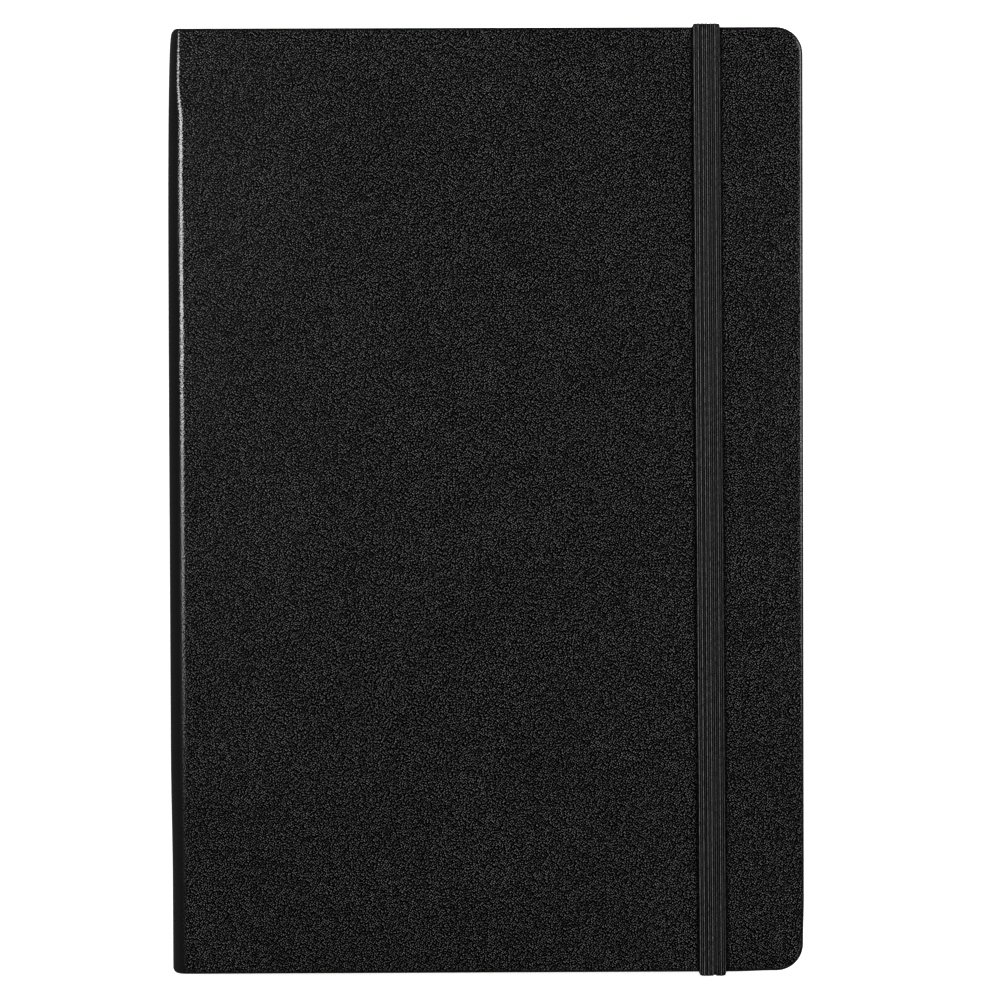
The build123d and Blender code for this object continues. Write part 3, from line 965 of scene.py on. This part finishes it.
def sweep_band(route):
    """Sweeps the ribbed section along the route's stops."""
    mesh = Mesh()
    section = rib_profile()
    rows = []
    length = 0.0
    for k, (y, z, half_t, notch) in enumerate(route):
        after, before = route[min(k + 1, len(route) - 1)], route[max(k - 1, 0)]
        run_y, run_z = after.y - before.y, after.z - before.z
        size = math.hypot(run_y, run_z)
        if k:
            length += math.hypot(y - route[k - 1].y, z - route[k - 1].z)
        edges_rolled = min(1.0, notch / NOTCH[HEAD])
        row = []
        for j, (u, h) in enumerate(section):
            crease = notch * math.exp(-(((u - CREASE_AT) / CREASE_HALF) ** 2))
            rolled = 0.9 * edges_rolled * max(0.0, (abs(u) - ROLL_AT) / ROLL_W) ** 2 * half_t
            off = half_t * h - (crease + rolled if h > 0 else 0.0)
            x = BAND_X + u - y * math.tan(BAND_LEAN) + 0.02 * wave(y, z, 9.0, 4.0)
            rubbed = min(1.0, 5 * max(0.0, h - 0.9))
            # the underside's place on the flat carries on past the band's edge
            flat_x = u if h > 0 or j in (0, len(section) - 1) else ELASTIC_W - u
            point = (x, y - run_z / size * off, z + run_y / size * off)
            row.append((point, (flat_x, length, 0.0), rubbed))
        rows.append(row)
    mesh.grid(rows)
    return mesh


def arc(y, z, radius, degrees, half_t, notch=0.0):
    """Stops of a bend, with the angles measured from +Y towards +Z; it is creased most midway."""
    found = []
    for k, angle in enumerate(degrees):
        a = math.radians(angle)
        creased = notch * (0.5 + 0.5 * math.sin(math.pi * k / (len(degrees) - 1)))
        found.append(Stop(y + radius * math.cos(a), z + radius * math.sin(a), half_t, creased))
    return found


def loop_route():
    """From one splice under the back cover, round the tail, over the front and back round the head."""
    outer_y = elastic_high[1] - BAND_HALF_T - 0.02
    tail_y, head_y = THIN[TAIL] - outer_y, outer_y - THIN[HEAD]
    tail_t, head_t = BAND_HALF_T - THIN[TAIL], BAND_HALF_T - THIN[HEAD]
    low_z, top_z = BAND_HALF_T, elastic_high[2] - BAND_HALF_T
    edge_z = np.linspace(low_z + WRAP_R, top_z - WRAP_R, 18)[1:-1]

    route = [Stop(-SPLICE_Y, low_z, BAND_HALF_T, 0.0)]
    route += arc(tail_y + WRAP_R, low_z + WRAP_R, WRAP_R, range(270, 179, -15), tail_t, NOTCH[TAIL] / 2)
    route += [Stop(tail_y, z, tail_t, NOTCH[TAIL]) for z in edge_z]
    route += arc(tail_y + WRAP_R, top_z - WRAP_R, WRAP_R, np.linspace(180, 90, 9), tail_t, NOTCH[TAIL])
    for y in np.linspace(tail_y + WRAP_R, head_y - WRAP_R, 260)[1:-1]:
        end = HEAD if y > 0 else TAIL
        near = math.exp(-(HEAD_Y - abs(y)) / 1.5)
        route.append(Stop(y, top_z, BAND_HALF_T - THIN[end] * near, NOTCH[end] * near))
    route += arc(head_y - WRAP_R, top_z - WRAP_R, WRAP_R, np.linspace(90, 0, 9), head_t, NOTCH[HEAD])
    route += [Stop(head_y, z, head_t, NOTCH[HEAD]) for z in edge_z[::-1]]
    route += arc(head_y - WRAP_R, low_z + WRAP_R, WRAP_R, range(0, -91, -15), head_t, NOTCH[HEAD])
    return route + [Stop(SPLICE_Y, low_z, BAND_HALF_T, 0.0)]


def tab_route(end, low, high):
    """From the splice, through the slit and along the recess in the board, where it is glued.

    It gets thinner on its way, as it is pressed into the recess.
    """
    tab_z = high[2] - 0.3
    slit_y = (abs(slit_low[end][1]) + abs(slit_high[end][1])) / 2
    tab_end = min(abs(low[1]), abs(high[1]))
    route = [Stop(y, BAND_HALF_T, BAND_HALF_T, 0.0) for y in (SPLICE_Y, slit_y + 1.6)]
    route += arc(slit_y + WRAP_R, BAND_HALF_T + WRAP_R, WRAP_R, (270, 240, 210, 180), 0.49)
    route.append(Stop(slit_y, 1.9, 0.47, 0.0))
    bend_r = 0.4
    for k, stop in enumerate(arc(slit_y - bend_r, tab_z - bend_r, bend_r, (0, 30, 60, 90), 0.4)):
        route.append(stop._replace(half_t=0.4 - k / 30))
    route += [Stop(y, tab_z, 0.28, 0.0) for y in np.linspace(slit_y - 1.2, tab_end, 8)]
    return [stop._replace(y=end * stop.y) for stop in route]


outward = ((BAND_X, 0, elastic_high[2]), (0, 0, 1))
loop = new_piece("elastic_band", sweep_band(loop_route()), elastic, outward)
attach(loop, "back_cover")
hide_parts("elastic_loop")
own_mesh(loop)

for end, name in ENDS:
    low, high = box_mm(f"elastic_end_{name}")
    outward = ((BAND_X, end * (SPLICE_Y - 2), 0), (0, 0, -1))
    tab = new_piece(f"elastic_tab_{name}", sweep_band(tab_route(end, low, high)), elastic, outward)
    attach(tab, "back_cover")
    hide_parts(f"elastic_end_{name}")

# ---- CAD nodes whose shape is right get a better material ----------------------------------------

for node, material in {
    "back_board": greyboard, "front_board": greyboard,
    "back_endpaper": endpaper, "front_endpaper": endpaper,
    "spine_lining_paper": lining_paper, "mull": mull_cloth,
}.items():
    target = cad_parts[node]
    target.data.materials.clear()
    target.data.materials.append(material)

# ---- Camera, floor and light, in metres ----------------------------------------------------------

LENS_MM, SENSOR_MM = 150.0, 36.0
DISTANCE = 0.925
ROLL = math.radians(0.2)
BACKWARDS = Vector((-0.008, 0.024, 1.0)).normalized()  # from the sketchbook to the camera
AIM = Vector((3.07 * MM, 0.33 * MM, front_high[2] * MM))
FLOOR_REACH = 6.0
WALLS, CEILING = 0.13, 0.01  # the studio's radiance, beside the sketchbook and above it


def show(name, data):
    """Makes an object of some data and puts it in the scene."""
    made = bpy.data.objects.new(name, data)
    bpy.context.scene.collection.objects.link(made)
    return made


def facing(back):
    """The turn of a camera or lamp whose own Z points back, its own Y as near the frame's as can be."""
    right = Vector((0, 1, 0)).cross(back).normalized()
    return Matrix((right, back.cross(right), back)).transposed()


def softbox(name, place, target, size, radiance):
    """A rectangular soft light, its brightness given as radiance."""
    data = bpy.data.lights.new(name, "AREA")
    data.shape = "RECTANGLE"
    data.size, data.size_y = size
    data.energy = radiance * math.pi * size[0] * size[1]
    lamp = show(name, data)
    lamp.location = place
    lamp.rotation_euler = facing((Vector(place) - Vector(target)).normalized()).to_euler()


camera_data = bpy.data.cameras.new("camera")
camera_data.sensor_width = SENSOR_MM
camera_data.lens = LENS_MM
camera = show("camera", camera_data)
camera.location = AIM + DISTANCE * BACKWARDS
camera.rotation_euler = (facing(BACKWARDS) @ Matrix.Rotation(-ROLL, 3, "Z")).to_euler()
bpy.context.scene.camera = camera

floor_data = bpy.data.meshes.new("floor")
corners = [(x * FLOOR_REACH, y * FLOOR_REACH, 0) for x, y in ((-1, -1), (1, -1), (1, 1), (-1, 1))]
floor_data.from_pydata(corners, [], [(0, 1, 2, 3)])
floor = show("floor", floor_data)
paint = Shader("floor_paint", Roughness=0.9, Specular_IOR_Level=0.1, Emission_Strength=0.8)
paint.surface.inputs["Emission Color"].default_value = (1, 1, 1, 1)
tint = paint.noise(paint.place((0.01, 0.01, 0.01)), 1.0)
white = paint.colour(tint, (0.86, 0.86, 0.86), (0.9, 0.9, 0.9))
floor_data.materials.append(paint.use(Base_Color=white))
floor.visible_glossy = False

softbox("left_softbox", (-0.388, 0.154, 0.86), (0, 0.154, 0), (0.175, 0.34), 25.0)
softbox("right_softbox", (0.50, 0.16, 0.64), (0, 0.16, 0), (0.40, 0.42), 9.0)

# The studio's walls are lighter than its ceiling, so the covers stay black from above
world = bpy.data.worlds.new("studio")
bpy.context.scene.world = world
world.use_nodes = True
nodes, links = world.node_tree.nodes, world.node_tree.links
background = nodes["Background"]
background.inputs["Color"].default_value = (1, 1, 1, 1)
direction = nodes.new("ShaderNodeTexCoord")
upwards = nodes.new("ShaderNodeSeparateXYZ")
graded = nodes.new("ShaderNodeMapRange")
for socket, value in (("From Min", 0.2), ("From Max", 0.8), ("To Min", WALLS), ("To Max", CEILING)):
    graded.inputs[socket].default_value = value
links.new(direction.outputs["Generated"], upwards.inputs[0])
links.new(upwards.outputs["Z"], graded.inputs["Value"])
links.new(graded.outputs["Result"], background.inputs["Strength"])
bpy.context.scene.view_settings.view_transform = "Standard"
